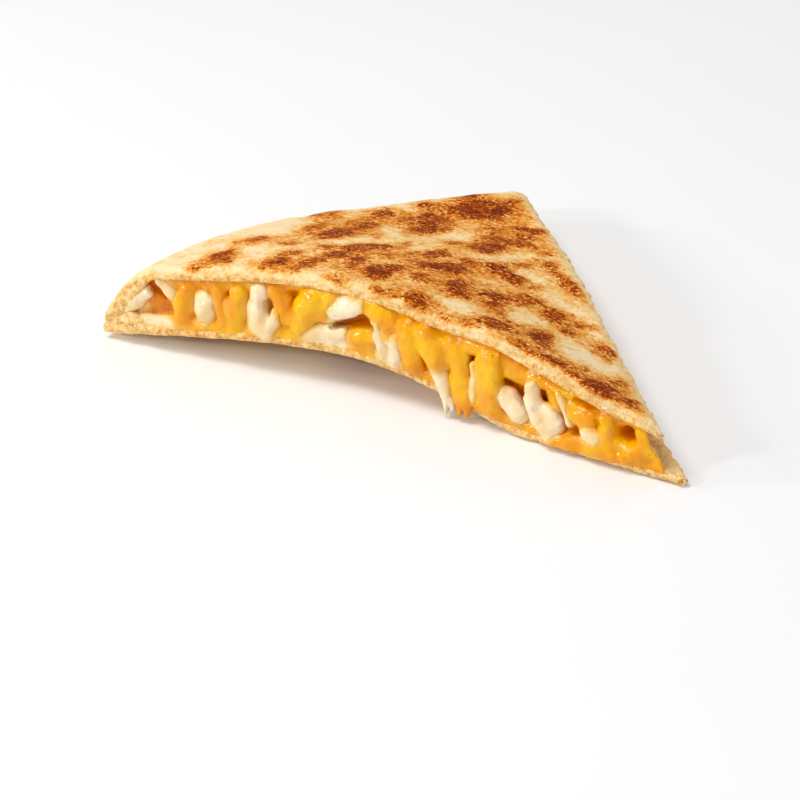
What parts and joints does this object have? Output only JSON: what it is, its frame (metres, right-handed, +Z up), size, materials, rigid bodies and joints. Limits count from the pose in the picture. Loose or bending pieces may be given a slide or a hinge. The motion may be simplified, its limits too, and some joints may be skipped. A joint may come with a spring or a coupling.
{
  "type": "quesadilla wedge",
  "caption": "Cut wedge of cheese quesadilla: two browned flour tortillas, arched along the cut, with melted cheddar and white cheese running between them.",
  "frame": {"origin": "on the resting plane, under the middle of the footprint", "axes": "+Z up, +X along the long cut from the rim towards the tip, -Y out of the long cut"},
  "size_m": [0.126, 0.0941, 0.0221],
  "materials": {
    "tortilla": "dry pan-toasted flour tortilla, cream with browned patches",
    "cheddar": "melted, moist and glossy",
    "white_cheese": "melted, moist, creamy"
  },
  "bodies": {
    "root": {"tortilla_bottom": "tortilla", "tortilla_top": "tortilla", "cheddar": "cheddar", "white_cheese_01": "white_cheese", "white_cheese_02": "white_cheese", "white_cheese_03": "white_cheese", "white_cheese_04": "white_cheese", "white_cheese_05": "white_cheese", "white_cheese_06": "white_cheese", "white_cheese_07": "white_cheese", "white_cheese_08": "white_cheese", "white_cheese_09": "white_cheese", "white_cheese_10": "white_cheese", "white_cheese_11": "white_cheese", "white_cheese_12": "white_cheese", "white_cheese_13": "white_cheese", "white_cheese_14": "white_cheese"}
  },
  "joints": []
}
